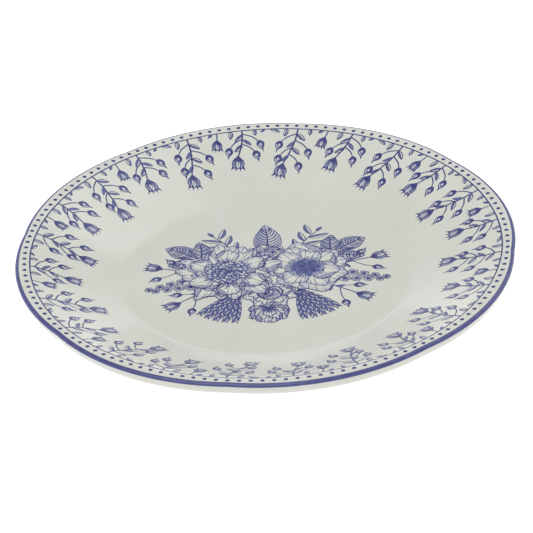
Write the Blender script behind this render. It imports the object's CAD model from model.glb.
import math

import bpy
import numpy as np
from mathutils import Matrix, Vector


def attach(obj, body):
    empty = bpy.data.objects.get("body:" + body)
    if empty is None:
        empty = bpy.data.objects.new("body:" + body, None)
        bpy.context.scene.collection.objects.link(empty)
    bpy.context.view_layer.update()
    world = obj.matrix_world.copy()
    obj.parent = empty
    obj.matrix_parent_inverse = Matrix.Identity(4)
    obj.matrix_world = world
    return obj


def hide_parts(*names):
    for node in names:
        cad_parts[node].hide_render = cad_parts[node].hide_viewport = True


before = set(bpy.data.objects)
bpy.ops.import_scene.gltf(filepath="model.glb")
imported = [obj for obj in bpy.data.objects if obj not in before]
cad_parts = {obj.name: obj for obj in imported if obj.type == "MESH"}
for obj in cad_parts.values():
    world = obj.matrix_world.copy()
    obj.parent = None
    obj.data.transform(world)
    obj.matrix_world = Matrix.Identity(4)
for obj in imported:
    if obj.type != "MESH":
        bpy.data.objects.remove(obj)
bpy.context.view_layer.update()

MM = 0.001

# ---- plate profile, the same numbers as the CAD part, in millimetres ----------------
PLATE_R = 133.0
LOBES = 8
LOBE_DEPTH = 1.4
FIRST_CUSP = 35.3        # degrees
FLOOR_TOP = 8.0
WELL_EDGE_R = 77.0
WELL_BLEND_R = 15.0
RIM_SLOPE = 0.418
VERGE_START_R = 121.5
LIP_TOP_R = 131.0
LIP_DROP = 1.35
PLAIN_R = 129.0
CHIN_R = 130.2
CHIN_Z = 21.9
UNDER_PLAIN_R = 127.0
UNDER_START_R = 118.5
RECESS_TOP = 3.4
FOOT_IN_R = 61.5
FOOT_OUT_R = 64.5
FOOT_ROUND = 0.8
FOOT_IN_COVE = 1.8
FOOT_OUT_COVE = 1.2
SHELF_Z = 2.9
LINE_R = 125.0
DOT_RING_R = 127.8
DOTS_PER_HALF = 71
TRANSFER_START = 12.0    # degrees; the other border transfer is half a turn on
# Border pattern: long and short sprays in turn, at an even pitch.
SPRAYS_PER_HALF = 12
SPRAY_PITCH = 180 / SPRAYS_PER_HALF
# Reach from the line, lean of the tip in degrees, and side twigs.
LONG_SPRAY = (24.6, -3.6, 4)
SHORT_SPRAY = (18.0, -2.4, 3)
FIRST_TWIG = 0.14        # share of the main stem where the first side twig starts
TWIG_STEP = 0.19
TWIG_SPREAD = 4.4        # degrees that the first side twig reaches sideways
TWIG_TAPER = 0.35        # degrees less for each further twig
TWIG_DROP = 6.0          # how much further in a twig ends than it starts
BUD_DROP = 8.0           # the same for the middle of its bud
BUD_TIP_DROP = 12.0      # and for the point that the bud faces
# Ellipse that the foliage of the bouquet grows from, and the turn from one ray to the next.
RAY_ROOT_X = 39.0        # half axes
RAY_ROOT_Y = 21.0
RAY_STEP = 360 / 14
FERN_STEP = 11.0         # degrees from one leaf of a fern fan to the next

RIM_ANGLE = math.atan(RIM_SLOPE)
VERGE_R = (LIP_TOP_R - VERGE_START_R) / math.sin(RIM_ANGLE)
VERGE_START_Z = FLOOR_TOP + (VERGE_START_R - WELL_EDGE_R) * RIM_SLOPE
LIP_TOP_Z = VERGE_START_Z + VERGE_R * (1 - math.cos(RIM_ANGLE))
LIP_WIDE_Z = LIP_TOP_Z - LIP_DROP
UNDER_R = (UNDER_PLAIN_R - UNDER_START_R) / math.sin(RIM_ANGLE)
UNDER_START_Z = CHIN_Z - UNDER_R * (1 - math.cos(RIM_ANGLE))
CORNER_IN_R = WELL_EDGE_R - WELL_BLEND_R * math.tan(RIM_ANGLE / 2)
CORNER_OUT_R = CORNER_IN_R + WELL_BLEND_R * math.sin(RIM_ANGLE)

# ---- print --------------------------------------------------------------------------
FILM = 0.035             # height of the first layer of print above the glaze
LAYER = 0.0005           # each level of overlapping strokes lies this much higher
CELL = 0.5               # size of the squares in which strokes are tested for overlap
OUTLINE_W = 0.52         # widths of the drawn strokes
STEM_W = 0.95
TWIG_W = 0.72
HATCH_W = 0.38
LINE_W = 0.75
DOT_R = 1.12
FIRST_DOT = 0.84

# ---- camera -------------------------------------------------------------------------
LENS_MM = 148.8
CAMERA_DISTANCE = 1.1684     # metres
AIM_HEIGHT = 28.35 * MM
CAMERA_ELEVATION = 31.5      # this and the next three are in degrees
CAMERA_ROLL = 3.33
CAMERA_PAN = -0.0314
CAMERA_TILT = -0.654

# ---- light --------------------------------------------------------------------------
# Place in metres, size in metres and power in watts of each lamp.
KEY_LIGHT = ((-0.4, -0.2, 1.9), 1.6, 11.6)
FILL_LIGHT = ((0.9, 0.9, 1.4), 1.4, 4.3)
# Brightness of the studio from straight below (0) through the horizon (0.5) to overhead (1).
GLOW = ((0.4, 0.78), (0.49, 1.2), (0.55, 1.2), (0.72, 0.4))


def top_height(r):
    """Height of the plain top surface at radius r, in millimetres; r may be an array."""
    r = np.asarray(r, float)
    corner = FLOOR_TOP + WELL_BLEND_R
    corner = corner - np.sqrt(np.maximum(WELL_BLEND_R ** 2 - (r - CORNER_IN_R) ** 2, 0))
    cone = FLOOR_TOP + (r - WELL_EDGE_R) * RIM_SLOPE
    reach = np.clip(LIP_TOP_R - r, 0, VERGE_R)
    verge = LIP_TOP_Z - VERGE_R + np.sqrt(VERGE_R ** 2 - reach ** 2)
    out = np.where(r < CORNER_IN_R, FLOOR_TOP, corner)
    out = np.where(r > CORNER_OUT_R, cone, out)
    return np.where(r > VERGE_START_R, verge, out)


# ---- materials ----------------------------------------------------------------------
def linear(r, g, b):
    """Linear colour from 8-bit display values."""
    out = []
    for v in (r, g, b):
        c = v / 255.0
        out.append(c / 12.92 if c <= 0.04045 else ((c + 0.055) / 1.055) ** 2.4)
    return tuple(out) + (1.0,)


def new_material(name):
    mat = bpy.data.materials.new(name)
    mat.use_nodes = True
    tree = mat.node_tree
    shader = tree.nodes["Principled BSDF"]
    return mat, tree, shader


def noise(tree, scale, detail=4.0, rough=0.55):
    """Noise that follows the object's own coordinates, in metres."""
    coords = tree.nodes.new("ShaderNodeTexCoord")
    node = tree.nodes.new("ShaderNodeTexNoise")
    node.inputs["Scale"].default_value = scale
    node.inputs["Detail"].default_value = detail
    node.inputs["Roughness"].default_value = rough
    tree.links.new(coords.outputs["Object"], node.inputs["Vector"])
    return node.outputs["Fac"]


def two_tone(tree, fac, low, high, start=0.35, end=0.65):
    ramp = tree.nodes.new("ShaderNodeValToRGB")
    ramp.color_ramp.elements[0].position = start
    ramp.color_ramp.elements[0].color = low
    ramp.color_ramp.elements[1].position = end
    ramp.color_ramp.elements[1].color = high
    tree.links.new(fac, ramp.inputs["Fac"])
    return ramp.outputs["Color"]


def bump(tree, shader, fac, strength, distance):
    node = tree.nodes.new("ShaderNodeBump")
    node.inputs["Strength"].default_value = strength
    node.inputs["Distance"].default_value = distance
    tree.links.new(fac, node.inputs["Height"])
    tree.links.new(node.outputs["Normal"], shader.inputs["Normal"])


def glaze_material():
    mat, tree, shader = new_material("white_glaze")
    base = two_tone(tree, noise(tree, 38.0), linear(232, 234, 224), linear(236, 238, 229))
    tree.links.new(base, shader.inputs["Base Color"])
    shader.inputs["Roughness"].default_value = 0.14
    shader.inputs["IOR"].default_value = 1.5
    bump(tree, shader, noise(tree, 160.0, 3.0), 0.05, 0.0006)
    return mat


def bisque_material():
    """Bare unglazed porcelain on the flat of the foot ring."""
    mat, tree, shader = new_material("bisque_foot")
    base = two_tone(tree, noise(tree, 900.0), linear(214, 208, 196), linear(232, 228, 219))
    tree.links.new(base, shader.inputs["Base Color"])
    shader.inputs["Roughness"].default_value = 0.85
    bump(tree, shader, noise(tree, 2200.0), 0.3, 0.0002)
    return mat


def ink_material(name, low, high, scale=260.0):
    mat, tree, shader = new_material(name)
    base = two_tone(tree, noise(tree, scale), low, high, 0.3, 0.7)
    tree.links.new(base, shader.inputs["Base Color"])
    shader.inputs["Roughness"].default_value = 0.22
    shader.inputs["IOR"].default_value = 1.5
    return mat


def floor_material():
    mat, tree, shader = new_material("studio_floor")
    base = two_tone(tree, noise(tree, 3.0), linear(236, 236, 236), linear(240, 240, 240))
    tree.links.new(base, shader.inputs["Base Color"])
    shader.inputs["Roughness"].default_value = 0.9
    shader.inputs["Specular IOR Level"].default_value = 0.0
    shader.inputs["Emission Color"].default_value = (1.0, 1.0, 1.0, 1.0)
    shader.inputs["Emission Strength"].default_value = 0.92
    return mat


GLAZE = glaze_material()
BISQUE = bisque_material()
INK = ink_material("ink_dark", linear(52, 58, 124), linear(78, 84, 146))
MID = ink_material("ink_mid", linear(98, 106, 164), linear(126, 133, 182))
WASH = ink_material("ink_wash", linear(176, 182, 207), linear(190, 195, 213))
HAZE = ink_material("ink_haze", linear(208, 211, 220), linear(218, 220, 224))
PAPER = ink_material("print_ground", linear(232, 234, 224), linear(236, 238, 229), 38.0)
BAND = ink_material("band_blue", linear(76, 80, 140), linear(96, 100, 156), 180.0)
TONES = {"ink": 0, "mid": 1, "wash": 2, "haze": 3, "paper": 4}


# ---- mesh helpers -------------------------------------------------------------------
def mesh_piece(name, verts, faces, materials, slots=None, smooth=True):
    """Object from vertices in millimetres."""
    mesh = bpy.data.meshes.new(name)
    mesh.from_pydata([(x * MM, y * MM, z * MM) for x, y, z in verts], [], faces)
    for mat in materials:
        mesh.materials.append(mat)
    if slots is not None:
        mesh.polygons.foreach_set("material_index", slots)
    mesh.polygons.foreach_set("use_smooth", [smooth] * len(faces))
    mesh.update()
    ob = bpy.data.objects.new(name, mesh)
    bpy.context.scene.collection.objects.link(ob)
    return ob


def lobed_radius(r, share, angle):
    """Radius of a lobed ring: one arc per lobe, meeting at the cusps."""
    depth = LOBE_DEPTH * share
    if depth == 0:
        return np.full(len(angle), r)
    beta = math.pi / LOBES
    cusp_r = r - depth
    offset = (cusp_r ** 2 - r ** 2) / (2 * (cusp_r * math.cos(beta) - r))
    rad = r - offset
    phi = np.mod(angle - math.radians(FIRST_CUSP), 2 * beta) - beta
    return offset * np.cos(phi) + np.sqrt(rad ** 2 - (offset * np.sin(phi)) ** 2)


def swept_rings(profile, steps):
    """Vertices of rings (r, z, share), and the quads between neighbours, closed all round."""
    angle = np.radians(FIRST_CUSP) + np.arange(steps) * 2 * math.pi / steps
    verts = []
    for r, z, share in profile:
        rr = lobed_radius(r, share, angle)
        verts += list(zip(rr * np.cos(angle), rr * np.sin(angle), np.full(steps, z)))
    faces = []
    for i in range(len(profile) - 1):
        for j in range(steps):
            k = (j + 1) % steps
            faces.append((i * steps + j, i * steps + k, (i + 1) * steps + k, (i + 1) * steps + j))
    return verts, faces


def quarter(p, q, centre, n):
    """Points of a quarter circle after p, up to and with q."""
    a0 = math.atan2(p[1] - centre[1], p[0] - centre[0])
    a1 = math.atan2(q[1] - centre[1], q[0] - centre[0])
    turn = (a1 - a0 + math.pi) % (2 * math.pi) - math.pi
    rad = math.hypot(p[0] - centre[0], p[1] - centre[1])
    return [(centre[0] + rad * math.cos(a0 + turn * i / n),
             centre[1] + rad * math.sin(a0 + turn * i / n)) for i in range(1, n + 1)]


def crown_profile(lift=0.0, n=12):
    """Quarter ellipse over the crown of the lip."""
    out = []
    a = PLATE_R - LIP_TOP_R
    for i in range(n + 1):
        t = math.pi / 2 * i / n
        nr = math.sin(t) / a
        nz = math.cos(t) / LIP_DROP
        size = math.hypot(nr, nz)
        out.append((LIP_TOP_R + a * math.sin(t) + lift * nr / size,
                    LIP_WIDE_Z + LIP_DROP * math.cos(t) + lift * nz / size, 1.0))
    return out


def body_profile():
    """Rings of the whole plate from the centre of the top round to the centre underneath."""
    out = []
    for r in list(np.linspace(0.5, 70, 14)) + [73.0]:
        out.append((r, FLOOR_TOP, 0.0))
    for r in np.linspace(CORNER_IN_R, CORNER_OUT_R, 9):
        out.append((r, float(top_height(r)), 0.0))
    for r in np.linspace(CORNER_OUT_R + 1.0, VERGE_START_R - 0.5, 22):
        out.append((r, float(top_height(r)), 0.0))
    for r in np.linspace(VERGE_START_R, PLAIN_R, 14):
        out.append((r, float(top_height(r)), 0.0))
    for t in np.linspace(0, 1, 7)[1:-1]:
        r = PLAIN_R + t * (LIP_TOP_R - PLAIN_R)
        out.append((r, float(top_height(r)), t))
    out += crown_profile()
    for i in range(1, 19):
        t = math.pi / 2 * i / 18
        out.append((CHIN_R + (PLATE_R - CHIN_R) * math.cos(t),
                    LIP_WIDE_Z - (LIP_WIDE_Z - CHIN_Z) * math.sin(t), 1.0))
    for t in (0.8, 0.4, 0.0):
        out.append((UNDER_PLAIN_R + t * (CHIN_R - UNDER_PLAIN_R), CHIN_Z, t))
    for r in np.linspace(UNDER_PLAIN_R, UNDER_START_R, 9)[1:]:
        out.append((r, CHIN_Z - UNDER_R + math.sqrt(UNDER_R ** 2 - (UNDER_PLAIN_R - r) ** 2), 0.0))
    shelf_edge = UNDER_START_R - (UNDER_START_Z - SHELF_Z) / RIM_SLOPE
    start = shelf_edge - WELL_BLEND_R * math.tan(RIM_ANGLE / 2)
    end = start + WELL_BLEND_R * math.sin(RIM_ANGLE)
    for r in np.linspace(UNDER_START_R - 1.0, end + 1.0, 14):
        out.append((r, SHELF_Z + (r - shelf_edge) * RIM_SLOPE, 0.0))
    for r in np.linspace(end, start, 9):
        out.append((r, SHELF_Z + WELL_BLEND_R - math.sqrt(WELL_BLEND_R ** 2 - (r - start) ** 2), 0.0))
    f = FOOT_ROUND
    out_r = FOOT_OUT_R + f
    in_r = FOOT_IN_R - f
    cove = (out_r + FOOT_OUT_COVE, SHELF_Z)
    wall_top = (out_r, SHELF_Z - FOOT_OUT_COVE)
    foot = [(cove[0] + 0.5, SHELF_Z), cove]
    foot += quarter(cove, wall_top, (cove[0], wall_top[1]), 8)
    foot.append((out_r, f))
    foot += quarter((out_r, f), (FOOT_OUT_R, 0.0), (FOOT_OUT_R, f), 6)
    foot += [(FOOT_OUT_R - 0.2, 0.0), (FOOT_IN_R + 0.2, 0.0), (FOOT_IN_R, 0.0)]
    foot += quarter((FOOT_IN_R, 0.0), (in_r, f), (FOOT_IN_R, f), 6)
    inner_top = (in_r, RECESS_TOP - FOOT_IN_COVE)
    foot.append(inner_top)
    foot += quarter(inner_top, (in_r - FOOT_IN_COVE, RECESS_TOP),
                    (in_r - FOOT_IN_COVE, inner_top[1]), 8)
    foot.append((in_r - FOOT_IN_COVE - 0.6, RECESS_TOP))
    foot += [(r, RECESS_TOP) for r in (50.0, 35.0, 20.0, 8.0, 0.5)]
    out += [(r, z, 0.0) for r, z in foot]
    return out


def porcelain_body():
    steps = 576
    profile = body_profile()
    verts, faces = swept_rings(profile, steps)
    verts.append((0.0, 0.0, profile[0][1]))
    verts.append((0.0, 0.0, profile[-1][1]))
    top = len(verts) - 2
    last = (len(profile) - 1) * steps
    for j in range(steps):
        k = (j + 1) % steps
        faces.append((top, k, j))
        faces.append((top + 1, last + j, last + k))
    faces = [tuple(reversed(f)) for f in faces]
    flat = 0.001
    slots = [1 if all(verts[i][2] < flat for i in f) else 0 for f in faces]
    ob = mesh_piece("glazed_body", verts, faces, [GLAZE, BISQUE], slots)
    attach(ob, "root")
    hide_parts("porcelain_body")
    return ob


def edge_band():
    profile = crown_profile(0.04, 14)
    inner = profile[0]
    outer = profile[-1]
    profile = [(inner[0] - 0.05, inner[1] - 0.05, 1.0)] + profile
    profile.append((outer[0] - 0.05, outer[1] - 0.02, 1.0))
    verts, faces = swept_rings(profile, 576)
    faces = [tuple(reversed(f)) for f in faces]
    ob = mesh_piece("painted_band", verts, faces, [BAND])
    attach(ob, "root")
    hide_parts("edge_band")
    return ob


# ---- flat drawing -------------------------------------------------------------------
def turned(points, degrees):
    a = math.radians(degrees)
    c, s = math.cos(a), math.sin(a)
    p = np.asarray(points, float)
    return np.stack([p[:, 0] * c - p[:, 1] * s, p[:, 0] * s + p[:, 1] * c], 1)


def bezier(p0, p1, p2, n=14):
    """Quadratic curve from p0 to p2, pulled toward p1."""
    t = np.linspace(0, 1, n)[:, None]
    p0, p1, p2 = (np.asarray(p, float) for p in (p0, p1, p2))
    return (1 - t) ** 2 * p0 + 2 * t * (1 - t) * p1 + t ** 2 * p2


def bowed(p, q, bulge, n=14):
    """Curve from p to q whose middle stands bulge to the left."""
    p = np.asarray(p, float)
    q = np.asarray(q, float)
    d = q - p
    nrm = np.array([-d[1], d[0]]) / (np.hypot(*d) + 1e-9)
    return bezier(p, (p + q) / 2 + 2 * bulge * nrm, q, n)


def normals(line):
    d = np.gradient(line, axis=0)
    d /= np.hypot(d[:, 0], d[:, 1])[:, None] + 1e-9
    return np.stack([-d[:, 1], d[:, 0]], 1)


class Drawing:
    """Flat shapes in drawing order; each is a patch of vertices, faces, a tone and a layer."""

    def __init__(self):
        self.patches = []

    def stroke(self, line, width, tone="ink", ends=(0.35, 0.15)):
        """Ribbon along a line; ends are the width shares at its start and finish."""
        line = np.asarray(line, float)
        n = normals(line)
        t = np.linspace(0, 1, len(line))
        swell = ends[0] + (1 - ends[0]) * np.minimum(t / 0.3, 1)
        fade = ends[1] + (1 - ends[1]) * np.minimum((1 - t) / 0.45, 1)
        half = (width / 2 * np.minimum(swell, fade))[:, None]
        points = np.concatenate([line + n * half, line - n * half])
        m = len(line)
        faces = [(i, m + i, m + i + 1, i + 1) for i in range(m - 1)]
        self.patches.append((points, faces, tone))

    def even(self, line, width, tone="ink"):
        self.stroke(line, width, tone, (1.0, 1.0))

    def fill(self, outline, tone, centre=None, rings=3):
        """Filled shape seen whole from its centre."""
        outline = np.asarray(outline, float)
        c = outline.mean(0) if centre is None else np.asarray(centre, float)
        m = len(outline)
        points = [c[None]]
        for k in range(1, rings + 1):
            points.append(c + (outline - c) * k / rings)
        faces = [(0, 1 + j, 1 + (j + 1) % m) for j in range(m)]
        for k in range(rings - 1):
            a = 1 + k * m
            b = a + m
            faces += [(a + j, b + j, b + (j + 1) % m, a + (j + 1) % m) for j in range(m)]
        self.patches.append((np.concatenate(points), faces, tone))

    def closed(self, outline, width=OUTLINE_W, tone="ink"):
        """Outline drawn all round."""
        loop = np.concatenate([outline, outline[:2]])
        self.even(loop, width, tone)

    def add(self, other, degrees=0.0, shift=(0.0, 0.0)):
        for points, faces, tone in other.patches:
            self.patches.append((turned(points, degrees) + np.asarray(shift), faces, tone))

    def mirrored(self):
        """Mirror image across the X axis."""
        out = Drawing()
        for points, faces, tone in self.patches:
            out.patches.append((points * [1, -1], [tuple(reversed(f)) for f in faces], tone))
        return out


def levels(patches):
    """For each patch, the lowest level that clears every earlier patch it crosses."""
    top = {}
    out = []
    for points, faces, _ in patches:
        cells = set()
        for face in faces:
            corners = np.floor(points[list(face)] / CELL).astype(int)
            x0, y0 = corners.min(0)
            x1, y1 = corners.max(0)
            cells.update((x, y) for x in range(x0, x1 + 1) for y in range(y0, y1 + 1))
        level = 1 + max(top.get(cell, -1) for cell in cells)
        out.append(level)
        top.update(dict.fromkeys(cells, level))
    return out


def laid_piece(name, drawing, nodes):
    """Mesh of a drawing laid on the top of the plate, later shapes a hair above earlier ones."""
    verts = []
    faces = []
    slots = []
    for (points, patch, tone), level in zip(drawing.patches, levels(drawing.patches)):
        base = len(verts)
        z = top_height(np.hypot(points[:, 0], points[:, 1])) + FILM + LAYER * level
        verts += list(zip(points[:, 0], points[:, 1], z))
        for face in patch:
            p = points[list(face)]
            q = np.roll(p, -1, 0)
            area = float(np.sum(p[:, 0] * q[:, 1] - p[:, 1] * q[:, 0]))
            face = face if area >= 0 else tuple(reversed(face))
            faces.append(tuple(base + k for k in face))
            slots.append(TONES[tone])
    ob = mesh_piece(name, verts, faces, [INK, MID, WASH, HAZE, PAPER], slots, False)
    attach(ob, "root")
    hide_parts(*nodes)
    return ob


# ---- leaves, buds and flowers -------------------------------------------------------
def thread(points, n=8):
    """Smooth curve through all the points."""
    p = np.asarray(points, float)
    p = np.concatenate([[2 * p[0] - p[1]], p, [2 * p[-1] - p[-2]]])
    out = []
    for i in range(1, len(p) - 2):
        a, b, c, e = p[i - 1], p[i], p[i + 1], p[i + 2]
        for t in np.arange(n) / n:
            out.append(0.5 * (2 * b + (c - a) * t + (2 * a - 5 * b + 4 * c - e) * t ** 2
                              + (3 * b - a - 3 * c + e) * t ** 3))
    out.append(p[-2])
    return np.array(out)


def frame_of(p, toward):
    """Unit vectors along and across the direction from p to toward."""
    axis = np.asarray(toward, float) - np.asarray(p, float)
    axis = axis / (np.hypot(*axis) + 1e-9)
    return axis, np.array([-axis[1], axis[0]])


def lens(p, q, width, bend=0.0, belly=0.45, n=13):
    """Leaf outline from stalk p to tip q, its midrib, and the half widths along it."""
    rib = bowed(p, q, bend, n)
    t = np.linspace(0, 1, n)
    power = math.log(0.5) / math.log(belly)
    half = width / 2 * np.sin(math.pi * t ** power) ** 0.85
    nrm = normals(rib)
    left = rib + nrm * half[:, None]
    right = rib - nrm * half[:, None]
    return np.concatenate([left, right[-2:0:-1]]), rib, half, nrm


def dark_leaf(d, p, q, width, bend=0.0):
    """Small leaf printed solid, with a pale slit along its rib."""
    outline, rib, _, _ = lens(p, q, width, bend)
    d.fill(outline, "mid")
    d.closed(outline, 0.3)
    d.stroke(rib, 0.3)


def split_leaf(d, p, q, width, bend=0.0, shaded=1):
    """Outlined leaf, one half shaded and the other left pale."""
    outline, rib, half, nrm = lens(p, q, width, bend)
    d.fill(outline, "paper")
    edge = rib + nrm * half[:, None] * shaded
    d.fill(np.concatenate([edge, rib[-2:0:-1]]), "mid")
    d.closed(outline, OUTLINE_W)
    d.stroke(rib, OUTLINE_W)


def closed_bud(d, p, toward, size, beak=0.35):
    """Tight bud: an egg with a wrapped petal, dark sepals at its base and a drawn-out tip."""
    p = np.asarray(p, float)
    axis, n = frame_of(p, toward)
    base = p - axis * size * 0.55
    tip = p + axis * size * 0.55
    outline, _, _, _ = lens(base, tip, size * 0.76, 0.0, 0.44)
    d.fill(outline, "haze")
    inner, _, _, _ = lens(base, p + axis * size * 0.34 + n * size * 0.05, size * 0.5, size * 0.04)
    d.fill(inner, "mid")
    core, _, _, _ = lens(p - axis * size * 0.34, p + axis * size * 0.2, size * 0.28)
    d.fill(core, "haze")
    d.closed(inner, 0.5)
    d.closed(outline, OUTLINE_W * 1.1)
    d.stroke(bowed(base, tip, size * 0.27, 9), OUTLINE_W)
    for s in (-1, 1):
        end = base + axis * size * 0.5 + n * s * size * 0.44
        sepal, _, _, _ = lens(base, end, size * 0.24, -0.1 * s * size)
        d.fill(sepal, "ink")
    if beak:
        d.stroke(bowed(tip - axis * size * 0.14, tip + axis * size * beak, 0.0, 5), 0.85, "ink",
                 (1.0, 0.3))


def open_bud(d, p, toward, size):
    """Half-open rose from the side: cup of ribbed petals and a fringe of tips."""
    p = np.asarray(p, float)
    axis, n = frame_of(p, toward)
    foot = p - axis * size * 0.5
    for k in (-0.4, 0.4):
        tip = p + axis * size * 0.52 + n * k * size
        back, _, _, _ = lens(p - axis * size * 0.2, tip, size * 0.3)
        d.fill(back, "mid")
        d.closed(back, OUTLINE_W)
    for k in (-1, 1):
        tip = p + axis * size * 0.5 + n * k * size * 0.24
        flank, _, _, _ = lens(foot, tip, size * 0.4, 0.11 * k * size, 0.55)
        d.fill(flank, "wash")
        d.closed(flank, OUTLINE_W * 1.2)
    front, _, _, _ = lens(foot, p + axis * size * 0.56, size * 0.4, 0.0, 0.6)
    d.fill(front, "haze")
    d.closed(front, OUTLINE_W * 1.2)
    for k in (-0.3, -0.18, 0.18, 0.3):
        start = foot + axis * size * 0.15 + n * k * size * 0.7
        d.stroke(bowed(start, p + axis * size * 0.34 + n * k * size, k * 0.8, 7), 0.68, "ink",
                 (1.0, 0.4))
    d.stroke(bowed(foot, p + axis * size * 0.26, 0.06 * size, 7), 0.6, "ink", (1.0, 0.3))
    cup, _, _, _ = lens(foot - axis * size * 0.14, p - axis * size * 0.06, size * 0.42, 0.0, 0.5)
    d.fill(cup, "ink")
    for k in (-0.5, -0.18, 0.18, 0.5):
        start = p + axis * size * (0.46 - 0.2 * abs(k)) + n * k * size * 0.8
        d.stroke(bowed(start, start + axis * size * 0.32 + n * k * size * 0.25, 0.1, 5), 0.7,
                 "ink", (1.0, 0.4))


# ---- border sprays ------------------------------------------------------------------
def hang(phi, depth):
    """Point phi degrees clockwise of the spray's root and depth in from the line."""
    a = math.radians(phi)
    r = LINE_R - depth
    return np.array([r * math.cos(a), -r * math.sin(a)])


def trail(*places):
    """Smooth curve through (phi, depth) places."""
    return thread([hang(phi, depth) for phi, depth in places])


def branch(d, width, *places):
    """Stem of nearly even width through (phi, depth) places."""
    d.stroke(trail(*places), width, "ink", (1.0, 0.75))


def spray(reach, lean, twigs):
    """Hanging spray: side twigs to each side in turn, and a half-open bud at the end."""
    def on_stem(share):
        return lean * share * share, reach * share

    d = Drawing()
    for i in range(twigs):
        s = 1 if (twigs - i) % 2 else -1
        phi, depth = on_stem(FIRST_TWIG + TWIG_STEP * i)
        out = s * (TWIG_SPREAD - TWIG_TAPER * i)
        middle = (phi + out * 0.6, depth + 2.6)
        branch(d, TWIG_W, (phi, depth), middle, (phi + out, depth + TWIG_DROP))
        bud_tip = hang(phi + out * 1.25, depth + BUD_TIP_DROP)
        closed_bud(d, hang(phi + out * 1.1, depth + BUD_DROP), bud_tip, 5.4)
        leaf_end = hang(phi - s * 2.4, depth + 4.8)
        if i % 2:
            dark_leaf(d, hang(phi, depth + 0.6), leaf_end, 2.0, 0.3)
        else:
            split_leaf(d, hang(phi, depth + 0.6), leaf_end, 2.3, 0.3, -1)
    branch(d, STEM_W, (0, -0.2), on_stem(0.35), on_stem(0.7), on_stem(1.0))
    open_bud(d, hang(lean * 1.1, reach + 3.6), hang(lean * 1.3, reach + 8.4), 7.6)
    split_leaf(d, hang(-3.0, 0.0), hang(-3.6, 5.4), 2.4, 0.2)
    split_leaf(d, hang(3.2, 0.0), hang(3.4, 4.2), 2.0, 0.2)
    return d


def hanging_bud():
    """Single half-open bud on a short stalk from the line."""
    d = Drawing()
    branch(d, TWIG_W, (0.7, -0.2), (0.5, 3.0), (0.2, 5.4))
    open_bud(d, hang(-0.1, 8.2), hang(-0.6, 13.0), 6.2)
    dark_leaf(d, hang(-0.6, 0.0), hang(-1.9, 2.4), 1.6)
    return d


def line_leaves():
    """Small leaves that fill a bare stretch of the line."""
    d = Drawing()
    dark_leaf(d, hang(-1.4, 0.4), hang(-2.6, 2.2), 1.3)
    split_leaf(d, hang(0.2, 0.4), hang(2.6, 2.6), 1.9, 0.2)
    return d


def border():
    """Both border transfers, half a turn apart: evenly pitched sprays, line and dots."""
    sprays_in_turn = (spray(*LONG_SPRAY), spray(*SHORT_SPRAY))
    fillers = (line_leaves(), hanging_bud())
    for label, turn in (("a", 0.0), ("b", 180.0)):
        sprays = Drawing()
        for i in range(SPRAYS_PER_HALF):
            angle = TRANSFER_START + (i + 0.5) * SPRAY_PITCH + turn
            sprays.add(sprays_in_turn[i % 2], angle)
            sprays.add(fillers[i % 2], angle + SPRAY_PITCH / 2)
        laid_piece("printed_sprays_" + label, sprays, ["spray_transfer_" + label])
        line = Drawing()
        angles = np.radians(np.linspace(0, 180, 361) + TRANSFER_START + turn)
        wander = 0.03 * np.sin(angles * 23) + 0.02 * np.sin(angles * 57 + 1.0)
        radius = LINE_R + wander
        points = np.stack([radius * np.cos(angles), radius * np.sin(angles)], 1)
        line.even(points, LINE_W)
        laid_piece("printed_line_" + label, line, ["inner_line_" + label])
        dots = Drawing()
        for i in range(DOTS_PER_HALF):
            a = math.radians(TRANSFER_START + turn + (i + FIRST_DOT) * 180.0 / DOTS_PER_HALF)
            t = np.linspace(0, 2 * math.pi, 16, endpoint=False)
            r = DOT_R * (1 + 0.05 * np.sin(2 * t + i) + 0.04 * np.sin(3 * t + 2.3 * i))
            c = np.array([DOT_RING_R * math.cos(a), DOT_RING_R * math.sin(a)])
            dots.fill(c + np.stack([r * np.cos(t), r * np.sin(t)], 1), "ink", c, 2)
        laid_piece("printed_dots_" + label, dots, ["dot_row_" + label])


# ---- bouquet ------------------------------------------------------------------------
def circle(centre, r, n=20, wobble=0.0, waves=5):
    t = np.linspace(0, 2 * math.pi, n, endpoint=False)
    rr = r * (1 + wobble * np.sin(waves * t))
    return np.asarray(centre, float) + rr[:, None] * np.stack([np.cos(t), np.sin(t)], 1)


def petal_outline(base, angle, length, width, ruffle=0.05, waves=3, n=44, phase=0.0):
    """Broad petal: narrow at its foot, rounded and ruffled at its far edge."""
    turn = np.linspace(-1, 1, n) * math.pi * 0.94
    x = length * (0.5 + 0.5 * np.cos(turn))
    y = width / 2 * np.sin(turn) * (0.6 + 0.4 * x / length)
    y = y * (1.0 + 0.22 * np.sin(math.pi * x / length))
    wave = 1 + ruffle * np.sin(turn * waves + phase) * (x / length) ** 2
    return turned(np.stack([x * wave, y * wave], 1), angle) + np.asarray(base, float)


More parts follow.
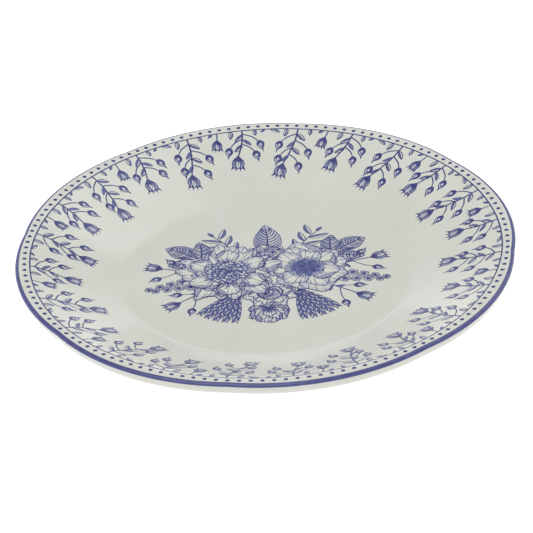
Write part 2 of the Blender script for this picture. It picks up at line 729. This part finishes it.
def petal(d, base, angle, length, width, ruffle=0.05, waves=5, phase=0.0, depth=0.5, lines=9,
          edge="ink"):
    """Engraved petal: pale with a light patch, shaded foot, fanned lines and a firm outline."""
    base = np.asarray(base, float)
    out = petal_outline(base, angle, length, width, ruffle, waves, phase=phase)
    middle = base + turned([[length * 0.5, 0]], angle)[0]
    glow = base + turned([[length * 0.66, 0]], angle)[0]
    d.fill(out, "haze", middle)
    d.fill(glow + (out - glow) * 0.66, "paper", glow)
    for share, tone in ((depth, "wash"), (depth * 0.6, "mid")):
        inner = base + (out - base) * share
        d.fill(inner, tone, base + (middle - base) * share)
    m = len(out)
    for i in range(lines):
        k = 3 + int((m - 7) * (i + 0.5) / lines)
        rim = out[k]
        reach = depth * (1.75 if i % 2 else 1.25)
        start = base + (rim - base) * 0.1
        end = base + (rim - base) * min(reach, 0.9)
        d.stroke(bowed(start, end, 0.03 * length * (1 if i % 3 else -1), 7), HATCH_W, "ink",
                 (1.0, 0.3))
        inward = base + (rim - base) * (0.82 - 0.1 * (i % 3))
        d.stroke(bowed(rim, inward, 0.0, 4), HATCH_W, edge, (1.0, 0.3))
    d.closed(out, OUTLINE_W, edge)


def rolled_edge(d, base, angle, length, width, side):
    """Rolled-over rim of a petal: a shaded crescent down one side."""
    t = np.linspace(0, 1, 12)
    x = length * (0.98 - 0.5 * t ** 1.3)
    y = side * width * (0.06 + 0.46 * np.sin(math.pi / 2 * t))
    outer = np.stack([x, y], 1)
    inner = outer - np.stack([length * 0.11 * np.sin(math.pi * t),
                              side * width * 0.15 * np.sin(math.pi * t)], 1)
    loop = turned(np.concatenate([outer, inner[-2:0:-1]]), angle) + np.asarray(base, float)
    d.fill(loop, "wash")
    d.closed(loop, OUTLINE_W)
    for k in range(2, 11, 2):
        d.stroke(bowed(loop[k], loop[k] * 0.3 + loop[-k] * 0.7, 0.0, 4), HATCH_W, "ink", (1.0, 0.4))


def petals(d, centre, rows, foot=0.1, **style):
    """Petals round a centre; each row is (angle, length, width) from back to front."""
    centre = np.asarray(centre, float)
    for i, (angle, length, width) in enumerate(rows):
        base = centre + turned([[length * foot, 0]], angle)[0]
        petal(d, base, angle, length * (1 - foot), width, phase=i * 1.7, **style)
        if i % 2 == 0 and width > 9:
            rolled_edge(d, base, angle, length * (1 - foot), width, 1 if i % 4 else -1)


def whorl(count, start, length, width):
    """Rows of evenly turned petals of slightly uneven size."""
    rows = []
    for i in range(count):
        j = (i * 5) % count
        sway = math.sin(2.3 * j + start)
        rows.append((start + 360.0 * j / count + 5 * sway, length * (1 + 0.09 * sway),
                     width * (1 - 0.12 * math.sin(1.7 * j))))
    return rows


def tuft(d, centre, rx, ry, count, size, width=0.6):
    """Crowd of short dark strokes that point away from the centre."""
    centre = np.asarray(centre, float)
    for i in range(count):
        share = math.sqrt((i + 0.5) / count)
        a = i * 2.39996
        out = np.array([rx * math.cos(a), ry * math.sin(a)])
        start = centre + out * share * 0.9
        step = size * (0.7 + 0.5 * math.sin(1.9 * i)) * out / np.hypot(*out)
        d.stroke(bowed(start, start + step, 0.22 * math.sin(2.7 * i) * size, 5), width, "ink",
                 (0.8, 0.5))
        if i % 3 == 0:
            d.fill(circle(start + step, 0.5, 7), "ink", start + step, 1)


def curls(d, centre, rx, ry, count, size):
    """Crowded small crisp petals that make a ruffled heart."""
    centre = np.asarray(centre, float)
    for i in range(count):
        share = math.sqrt(1.0 - (i + 0.5) / count)
        a = i * 2.39996
        place = centre + share * np.array([rx * math.cos(a), ry * math.sin(a)])
        angle = math.degrees(a) + 60 * math.sin(1.3 * i)
        s = size * (0.75 + 0.35 * share)
        foot = place - turned([[s * 0.4, 0]], angle)[0]
        out = petal_outline(foot, angle, s, s * 0.95, 0.18, 5, 24, i * 1.1)
        d.fill(out, "haze" if i % 2 else "wash", place)
        d.fill(foot + (out - foot) * 0.55, "mid", foot + (place - foot) * 0.55)
        d.closed(out, 0.62)
        tail = turned([[s * 0.3, 0]], angle)[0]
        d.stroke(bowed(place - tail * 1.2, place + tail, s * 0.14, 7), 0.75, "ink", (0.8, 0.4))


def peony(d, centre):
    """Full ruffled flower: long outer petals, crisp inner ones and a crowded dark heart."""
    x, y = centre
    style = {"ruffle": 0.08, "waves": 5}
    petals(d, (x, y), whorl(13, 8, 26.5, 15), depth=0.42, lines=13, **style)
    petals(d, (x + 1, y), whorl(11, 24, 21, 13), depth=0.5, lines=11, **style)
    petals(d, (x - 1, y), whorl(10, 5, 16.5, 11), depth=0.55, lines=9, **style)
    for i in range(6):
        angle = 30 + 60 * i
        place = np.array([x, y]) + turned([[8.5, 0]], angle)[0]
        petal(d, place, angle, 14, 12.5, 0.05, 4, i, 0.4, 11)
        rolled_edge(d, place, angle, 14, 12.5, 1 if i % 2 else -1)
    d.fill(circle((x - 1, y + 1), 9.5, 30, 0.1, 7), "mid", (x - 1, y + 1))
    curls(d, (x - 1, y + 1), 10.5, 8.5, 34, 5.2)
    tuft(d, (x - 1, y), 7.5, 6.0, 26, 2.4, 0.75)
    tuft(d, (x, y - 12), 8.0, 2.6, 22, 3.4, 0.6)


def poppy(d, centre):
    """Wide open flower with a big tufted dark eye."""
    petals(d, centre, whorl(9, 10, 23, 20), ruffle=0.07, waves=4, depth=0.46, lines=13)
    petals(d, centre, whorl(7, 34, 18.5, 16), ruffle=0.07, waves=4, depth=0.46, lines=13)
    eye = np.asarray(centre, float)
    d.fill(circle(eye, 10.4, 36, 0.09, 7), "wash", eye)
    d.fill(circle(eye, 7.8, 36, 0.12, 8), "mid", eye)
    tuft(d, eye, 11.0, 9.4, 120, 2.6, 0.55)
    tuft(d, eye + [1.0, 0.6], 4.6, 4.2, 34, 2.2, 0.8)


def rose(d, centre, r, turn=0.0, spread=True):
    """Rose: optional open outer petals, then wrapped petals that wind round the heart."""
    centre = np.asarray(centre, float)
    if spread:
        rows = tuple((turn + 51.4 * i, r * 1.1, r * 0.95) for i in (0, 3, 6, 2, 5, 1, 4))
        rows += tuple((turn + 25 + 60 * i, r * 0.86, r * 0.75) for i in (0, 2, 4, 1, 3, 5))
        petals(d, centre, rows, ruffle=0.1, waves=5, depth=0.62, lines=9)
    ball = r * (0.52 if spread else 1.0)
    d.fill(circle(centre, ball, 32), "haze", centre)
    heart = centre + turned([[ball * 0.26, 0]], turn + 120)[0]
    for i in range(9):
        a = math.radians(turn + 131 * i)
        s = ball * (0.99 - 0.095 * i)
        middle = centre + (heart - centre) * i / 8
        u = np.linspace(-1.2, 1.2, 16)
        ring = np.stack([np.cos(u + a), np.sin(u + a)], 1)
        thick = 0.3 * np.cos(u / 1.2 * math.pi / 2) ** 0.7 + 0.02
        outer = middle + s * ring
        inner = middle + s * ring * (1 - thick)[:, None]
        loop = np.concatenate([outer, inner[::-1]])
        d.fill(loop, "wash" if i % 2 else "haze", loop[8] * 0.5 + loop[23] * 0.5)
        d.stroke(inner, OUTLINE_W * (2.2 if i % 3 == 1 else 1.5), "ink", (0.5, 0.4))
        d.even(outer, OUTLINE_W * 0.8)
        for k in range(2, 15, 2):
            reach = 0.8 if k % 4 else 0.5
            d.stroke(bowed(inner[k], inner[k] + (outer[k] - inner[k]) * reach, 0.0, 4),
                     HATCH_W * 1.2, "ink", (1.0, 0.3))
    d.fill(circle(heart, ball * 0.12, 12), "ink", heart)
    d.closed(circle(centre, ball, 32), 0.9 if spread else 1.1)
    for i in range(9):
        a = math.radians(turn + 190 + 13 * i)
        far = np.array([math.cos(a), math.sin(a)])
        d.stroke(bowed(centre + far * ball * 0.98, centre + far * ball * 0.8, 0.3, 5), HATCH_W)


def side_rose(d, calyx, angle, r):
    """Rose seen from the side, facing along the angle, with long sepals at its back."""
    calyx = np.asarray(calyx, float)
    for spread, length in ((58, 1.35), (-58, 1.35), (34, 1.75), (-34, 1.75), (10, 1.9), (-14, 1.9)):
        petal(d, calyx, angle + spread, r * length, r * 1.15, 0.06, 4, spread, 0.4, 12)
        rolled_edge(d, calyx, angle + spread, r * length, r * 1.15, 1 if spread > 0 else -1)
    front = calyx + turned([[r * 0.4, 0]], angle)[0]
    for spread, length in ((60, 1.0), (-60, 1.0), (24, 1.15), (-24, 1.1), (0, 0.8)):
        petal(d, front, angle + spread, r * length, r * 0.8, 0.1, 5, length, 0.6, 9)
    tuft(d, calyx + turned([[r * 0.35, 0]], angle)[0], r * 0.34, r * 0.3, 16, 2.4, 0.75)
    for spread in (95, -95, 130, -140, 180):
        tip = calyx + turned([[r * 0.95, 0]], angle + spread)[0]
        dark_leaf(d, calyx, tip, 1.5, 0.5)


def veined_leaf(d, p, q, width, bend=0.0, veins=7, teeth=0.012):
    """Rose leaf: toothed outline, one side a little darker, bold veins that sweep to the tip."""
    outline, rib, half, nrm = lens(p, q, width, bend, 0.45, 25)
    m = len(outline)
    middle = outline.mean(0)
    saw = 1 + teeth * (np.arange(m) % 2)
    outline = middle + (outline - middle) * saw[:, None]
    d.fill(outline, "haze", middle)
    d.fill(np.concatenate([rib + nrm * half[:, None] * 0.94, rib[-2:0:-1]]), "wash")
    d.closed(outline, OUTLINE_W)
    axis, _ = frame_of(p, q)
    for i in range(veins):
        k = 2 + int(20 * (i + 0.2) / veins)
        for s in (-1, 1):
            end = min(k + 5, 22)
            tip = rib[end] + nrm[end] * s * half[end] * 0.93
            d.stroke(bowed(rib[k], tip, 0.2 * s * half[k], 8), 0.78, "ink", (1.0, 0.5))
            if i < veins - 2:
                low = rib[k + 1] * 0.4 + tip * 0.6 + axis * 0.7
                far = rib[end + 1] + nrm[end + 1] * s * half[end + 1] * 0.9
                d.stroke(bowed(low, far, 0.0, 4), HATCH_W, "ink", (0.8, 0.5))
    d.stroke(rib, 0.9, "ink", (1.0, 0.4))


def feather(d, p, q, bend, width, barbs):
    """Long drooping leaf: pale fingers edged and split by dark strokes."""
    outline, rib, half, nrm = lens(p, q, width, bend, 0.6, 4 * barbs)
    d.fill(outline, "wash")
    axis, _ = frame_of(p, q)
    for i in range(barbs):
        k = 2 + int((4 * barbs - 5) * i / barbs)
        for s in (-1, 1):
            tip = rib[k] + nrm[k] * s * (half[k] + 0.3) + axis * (3.4 + 0.9 * half[k])
            leaflet, _, _, _ = lens(rib[k], tip, 1.15, 0.25 * s)
            d.fill(leaflet, "haze" if (i + (s > 0)) % 2 == 0 else "mid")
            d.closed(leaflet, 0.38)
    d.stroke(rib, 0.75, "ink", (1.0, 0.4))


def floret(d, centre, r, turn=0.0, count=5):
    """Small flower: round outlined petals and a dark eye."""
    centre = np.asarray(centre, float)
    for i in range(count):
        a = math.radians(turn + 360 * i / count)
        c = centre + r * 0.6 * np.array([math.cos(a), math.sin(a)])
        out = circle(c, r * 0.42, 12)
        d.fill(out, "haze" if i % 2 else "wash", c, 2)
        d.closed(out, 0.45)
        d.stroke(bowed(centre, c + (c - centre) * 0.2, 0.0, 4), 0.6)
    d.fill(circle(centre, r * 0.24, 10), "ink", centre, 1)


def lace(d, places, r):
    """Cluster of tiny florets that fills a gap between flowers."""
    for i, place in enumerate(places):
        floret(d, place, r * (0.85 + 0.15 * (i % 3)), 31 * i, 4)


def stalk(d, *places, width=STEM_W):
    d.stroke(thread(places), width, "ink", (1.0, 0.8))


def leafy_twig():
    """Fine twig with narrow leaves to each side in turn."""
    d = Drawing()
    stalk(d, (-6, 0), (8, 1.4), (17, 0.8), (25, -1), width=0.7)
    for i in range(6):
        s = 1 if i % 2 else -1
        split_leaf(d, (1 + 4 * i, 0.9), (9 + 4 * i, 8.0 * s), 3.2, 0.5 * s)
    dark_leaf(d, (24.6, -1), (30, -2), 2.2, 0.3)
    return d


def leaf_trio():
    """Three broad veined leaves on a common stalk."""
    d = Drawing()
    stalk(d, (-6, 0), (4, 0.7), (14, 0.2), width=0.8)
    veined_leaf(d, (12, 0), (30, -1), 12.5, 1.2, 9)
    veined_leaf(d, (7, 0.6), (19, 14), 10.0, 1.0, 8)
    veined_leaf(d, (7.4, -0.6), (18, -14), 10.0, -1.0, 8)
    return d


def bud_twig():
    """Twig that ends in a half-open bud, with a tight bud to each side."""
    d = Drawing()
    stalk(d, (-6, 0), (6, 1.2), (14, 1.7), (20.4, 1.8), width=0.8)
    for s, x in ((1, 5), (-1, 9)):
        stalk(d, (x, 0.9), (x + 5, 4.6 * s), (x + 9.4, 7.6 * s), width=0.6)
        closed_bud(d, (x + 11, 9.0 * s), (x + 15, 12 * s), 5.6, 0.3)
        dark_leaf(d, (x - 2, 0.9), (x + 1, -4.6 * s), 2.0, 0.3)
    open_bud(d, (23.6, 2.2), (30, 3), 8.0)
    return d


def floret_spike():
    """Stalk with small florets to each side in turn."""
    d = Drawing()
    stalk(d, (-6, 0), (8, 1.3), (17, 0.7), (26, -1), width=0.6)
    for i in range(8):
        s = 1 if i % 2 else -1
        floret(d, (4 + 3.1 * i, s * (3.4 - 0.35 * i)), 3.2 - 0.14 * i, 40 * i)
    return d


def fern_fan():
    """Fan of five feathery leaves."""
    d = Drawing()
    for i in (0, 4, 1, 3, 2):
        a = math.radians(FERN_STEP * (i - 2))
        tip = (26.5 * math.cos(a), 26.5 * math.sin(a))
        feather(d, (-2, 0.4 * (i - 2)), tip, 0.4 * (i - 2), 3.4, 11)
    return d


def broad_leaf():
    d = Drawing()
    veined_leaf(d, (-2, 0), (29, 0), 15.0, -1.2, 10)
    return d


def nodding_rose():
    """Rose seen from the side on a short stalk."""
    d = Drawing()
    stalk(d, (-6, 0), (2, 0.4), (10, 0), width=0.9)
    side_rose(d, (10, 0), 0, 8.6)
    return d


def bouquet():
    """Three flowers, and foliage set evenly all round them, the left side mirroring the right."""
    d = Drawing()
    rays = [(broad_leaf(), 90), (nodding_rose(), 270)]
    for i, ray in enumerate((leafy_twig(), leaf_trio(), bud_twig(), floret_spike(), bud_twig(),
                             fern_fan())):
        rays.append((ray, 90 - (i + 1) * RAY_STEP))
        rays.append((ray.mirrored(), 90 + (i + 1) * RAY_STEP))
    for ray, angle in rays:
        a = math.radians(angle)
        d.add(ray, angle, (RAY_ROOT_X * math.cos(a), RAY_ROOT_Y * math.sin(a)))
    petals(d, (0, 15), ((90, 14, 13), (122, 13, 11), (58, 13, 11)), depth=0.4, lines=9)
    lace(d, [(3.6 * (i - 3), 21.5 + 2.4 * (i % 2)) for i in range(7)], 2.9)
    rose(d, (1, -19), 12.6, 40)
    poppy(d, (21, 4))
    peony(d, (-21, 3))
    laid_piece("printed_bouquet", d, ["centre_transfer"])


# ---- stage --------------------------------------------------------------------------
def stage():
    mat = floor_material()
    ob = mesh_piece("floor", [(-4000, -4000, -0.2), (4000, -4000, -0.2), (4000, 4000, -0.2),
                              (-4000, 4000, -0.2)], [(0, 1, 2, 3)], [mat])
    ob.visible_diffuse = False
    world = bpy.data.worlds.new("studio")
    world.use_nodes = True
    tree = world.node_tree
    coords = tree.nodes.new("ShaderNodeTexCoord")
    split = tree.nodes.new("ShaderNodeSeparateXYZ")
    tree.links.new(coords.outputs["Generated"], split.inputs["Vector"])
    share = tree.nodes.new("ShaderNodeMath")
    share.operation = "MULTIPLY_ADD"
    share.inputs[1].default_value = 0.5
    share.inputs[2].default_value = 0.5
    tree.links.new(split.outputs["Z"], share.inputs[0])
    ramp = tree.nodes.new("ShaderNodeValToRGB")
    tree.links.new(share.outputs["Value"], ramp.inputs["Fac"])
    while len(ramp.color_ramp.elements) < len(GLOW):
        ramp.color_ramp.elements.new(0.5)
    for element, (place, glow) in zip(ramp.color_ramp.elements, GLOW):
        element.position = place
        element.color = (glow, glow, glow, 1.0)
    tree.links.new(ramp.outputs["Color"], tree.nodes["Background"].inputs["Color"])
    bpy.context.scene.world = world


def soft_light(name, place, size, power):
    data = bpy.data.lights.new(name, "AREA")
    data.shape = "DISK"
    data.size = size
    data.energy = power
    ob = bpy.data.objects.new(name, data)
    ob.location = place
    aim = Vector((0, 0, 0)) - Vector(place)
    ob.rotation_euler = aim.to_track_quat("-Z", "Y").to_euler()
    bpy.context.scene.collection.objects.link(ob)


def camera():
    e = math.radians(CAMERA_ELEVATION)
    roll = math.radians(CAMERA_ROLL)
    pan = math.radians(CAMERA_PAN)
    tilt = math.radians(CAMERA_TILT)
    ahead = Vector((0, math.cos(e), -math.sin(e)))
    right = Vector((1, 0, 0))
    up = Vector((0, math.sin(e), math.cos(e)))
    ex = right * math.cos(roll) - up * math.sin(roll)
    ey = right * math.sin(roll) + up * math.cos(roll)
    cx = ex * math.cos(pan) + ahead * math.sin(pan)
    level = -ex * math.sin(pan) + ahead * math.cos(pan)
    cy = ey * math.cos(tilt) - level * math.sin(tilt)
    view = ey * math.sin(tilt) + level * math.cos(tilt)
    data = bpy.data.cameras.new("camera")
    data.lens = LENS_MM
    data.sensor_width = 36.0
    data.clip_end = 50.0
    ob = bpy.data.objects.new("camera", data)
    place = Vector((0, 0, AIM_HEIGHT)) - ahead * CAMERA_DISTANCE
    axes = Matrix((cx, cy, -view)).transposed()
    ob.matrix_world = Matrix.Translation(place) @ axes.to_4x4()
    bpy.context.scene.collection.objects.link(ob)
    bpy.context.scene.camera = ob


porcelain_body()
edge_band()
border()
bouquet()
stage()
soft_light("key", *KEY_LIGHT)
soft_light("fill", *FILL_LIGHT)
camera()
bpy.context.scene.view_settings.view_transform = "Standard"
